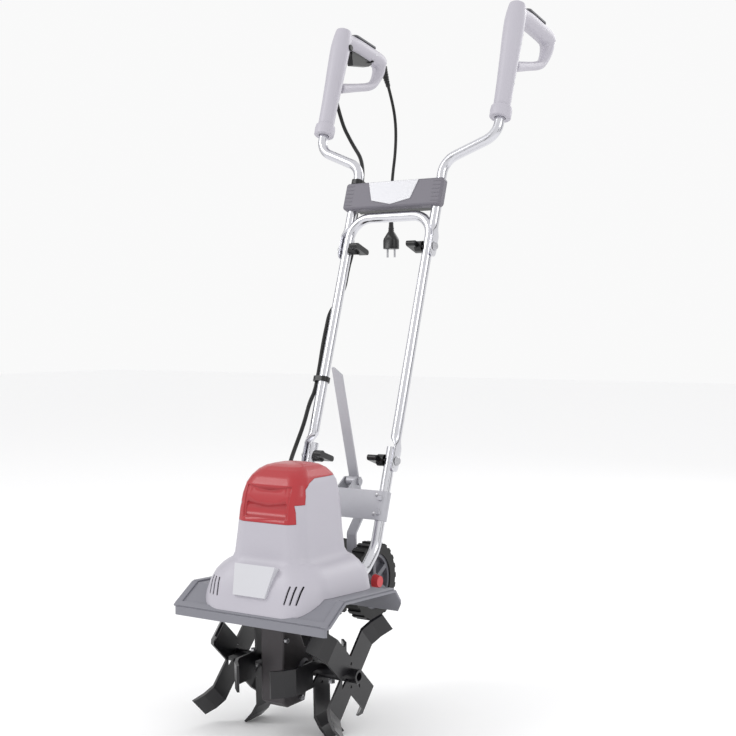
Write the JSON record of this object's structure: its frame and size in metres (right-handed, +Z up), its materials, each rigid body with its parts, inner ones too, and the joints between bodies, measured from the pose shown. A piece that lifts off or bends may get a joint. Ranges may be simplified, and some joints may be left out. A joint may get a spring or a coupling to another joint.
{
  "type": "electric garden tiller",
  "caption": "Electric garden tiller with worm gearbox, bent-blade tines, fender, folding tube handle, D grips, swing-back wheels and short mains lead",
  "frame": {"origin": "centre of the base of the machine's bounding box without the free lead, on the ground under the tines", "axes": "+Z up, -Y towards the front of the motor housing, +Y towards the operator, +X to the right seen from the front"},
  "size_m": [0.46, 0.8355, 1.3564],
  "materials": {
    "cast_case": "as cast, grey",
    "zinc_steel": "zinc plated",
    "stator_steel": "varnished laminations",
    "bronze_gear": "cut gear",
    "grey_fan": "moulded",
    "housing_grey": "satin moulded",
    "cap_red": "satin moulded",
    "badge_silver": "smooth",
    "fender_grey": "textured",
    "console_grey": "textured",
    "dark_plastic": "moulded",
    "chrome_tube": "polished",
    "silver_paint": "satin silver",
    "tine_steel": "satin black",
    "tyre_black": "moulded",
    "rim_grey": "moulded",
    "hub_red": "moulded",
    "cable_black": "smooth"
  },
  "bodies": {
    "chassis": {"gearbox_left_case": "cast_case", "gearbox_right_case": "cast_case", "case_bolts": "zinc_steel", "bearings_and_seals": "zinc_steel", "motor_stator": "stator_steel", "motor_housing": "housing_grey", "motor_cap": "cap_red", "front_badge": "badge_silver", "fender": "fender_grey", "base_plate": "zinc_steel", "lower_left_tube": "chrome_tube", "lower_right_tube": "chrome_tube", "crossmember": "silver_paint", "lever_bracket": "silver_paint", "lower_fold_bolts": "zinc_steel", "motor_cable_lower": "cable_black"},
    "rotor": {"armature": "zinc_steel", "cooling_fan": "grey_fan"},
    "tines": {"tine_shaft": "zinc_steel", "worm_wheel": "bronze_gear", "hub_tubes": "tine_steel", "inner_stars": "tine_steel", "outer_stars": "tine_steel", "hitch_bolts": "zinc_steel"},
    "wheel_carrier": {"wheel_lever": "silver_paint", "wheel_axle": "zinc_steel"},
    "left_wheel": {"left_tyre": "tyre_black", "left_rim": "rim_grey", "left_hub_cap": "hub_red"},
    "right_wheel": {"right_tyre": "tyre_black", "right_rim": "rim_grey", "right_hub_cap": "hub_red"},
    "lower_left_knob": {"lower_left_knob": "dark_plastic"},
    "lower_right_knob": {"lower_right_knob": "dark_plastic"},
    "middle": {"middle_frame": "chrome_tube", "upper_fold_bolts": "zinc_steel", "middle_cable_clip": "dark_plastic", "motor_cable_middle": "cable_black"},
    "upper_left_knob": {"upper_left_knob": "dark_plastic"},
    "upper_right_knob": {"upper_right_knob": "dark_plastic"},
    "upper": {"upper_left_tube": "chrome_tube", "upper_right_tube": "chrome_tube", "console_front": "console_grey", "console_back": "dark_plastic", "console_badge": "badge_silver", "left_grip_outer_shell": "housing_grey", "left_grip_inner_shell": "housing_grey", "right_grip_outer_shell": "housing_grey", "right_grip_inner_shell": "housing_grey", "grip_inserts": "console_grey", "switch_box": "dark_plastic", "upper_cable_clip": "dark_plastic", "motor_cable_upper": "cable_black", "motor_cable_fold": "cable_black", "mains_lead": "cable_black", "bend_relief": "dark_plastic", "plug_body": "dark_plastic", "plug_pins": "chrome_tube"},
    "trigger": {"trigger": "dark_plastic"},
    "lock_button": {"lock_button": "dark_plastic"}
  },
  "joints": [
    {"name": "tine_spin", "type": "hinge", "parent": "chassis", "child": "tines", "pos_m": [0, -0.2595, 0.11224], "axis": [1, 0, 0], "continuous": true},
    {"name": "motor_spin", "type": "hinge", "parent": "chassis", "child": "rotor", "pos_m": [0, -0.29445, 0.30023], "axis": [0, 0, 1], "continuous": true},
    {"name": "wheel_lever_swing", "type": "hinge", "parent": "chassis", "child": "wheel_carrier", "pos_m": [0, -0.0625, 0.41624], "axis": [1, 0, 0], "range_deg": [0, 40]},
    {"name": "left_wheel_spin", "type": "hinge", "parent": "wheel_carrier", "child": "left_wheel", "pos_m": [-0.04, -0.0655, 0.23223], "axis": [1, 0, 0], "continuous": true},
    {"name": "right_wheel_spin", "type": "hinge", "parent": "wheel_carrier", "child": "right_wheel", "pos_m": [0.04, -0.0655, 0.23223], "axis": [1, 0, 0], "continuous": true},
    {"name": "lower_fold", "type": "hinge", "parent": "chassis", "child": "middle", "pos_m": [0, -0.0715, 0.46074], "axis": [1, 0, 0], "range_deg": [0, 90], "deforming": ["motor_cable_lower"]},
    {"name": "lower_left_knob_turn", "type": "hinge", "parent": "chassis", "child": "lower_left_knob", "pos_m": [-0.065, -0.0715, 0.46074], "axis": [1, 0, 0], "continuous": true},
    {"name": "lower_right_knob_turn", "type": "hinge", "parent": "chassis", "child": "lower_right_knob", "pos_m": [0.065, -0.0715, 0.46074], "axis": [1, 0, 0], "continuous": true},
    {"name": "upper_fold", "type": "hinge", "parent": "middle", "child": "upper", "pos_m": [0, 0.06258, 0.86298], "axis": [-1, 0, 0], "range_deg": [0, 140], "deforming": ["motor_cable_fold"]},
    {"name": "upper_left_knob_turn", "type": "hinge", "parent": "middle", "child": "upper_left_knob", "pos_m": [-0.07, 0.06258, 0.86298], "axis": [1, 0, 0], "continuous": true},
    {"name": "upper_right_knob_turn", "type": "hinge", "parent": "middle", "child": "upper_right_knob", "pos_m": [0.07, 0.06258, 0.86298], "axis": [1, 0, 0], "continuous": true},
    {"name": "trigger_press", "type": "hinge", "parent": "upper", "child": "trigger", "pos_m": [-0.205, 0.3205, 1.29723], "axis": [-1, 0, 0], "range_deg": [0, 5], "stiffness_Nm_per_rad": 2, "springref_deg": -3.44},
    {"name": "lock_button_press", "type": "slide", "parent": "upper", "child": "lock_button", "axis": [-1, 0, 0], "range_m": [0, 0.004], "stiffness_N_per_m": 400, "springref_m": -0.001}
  ],
  "couplings": [
    {"joint": "motor_spin", "follows": "tine_spin", "ratio": -32}
  ]
}
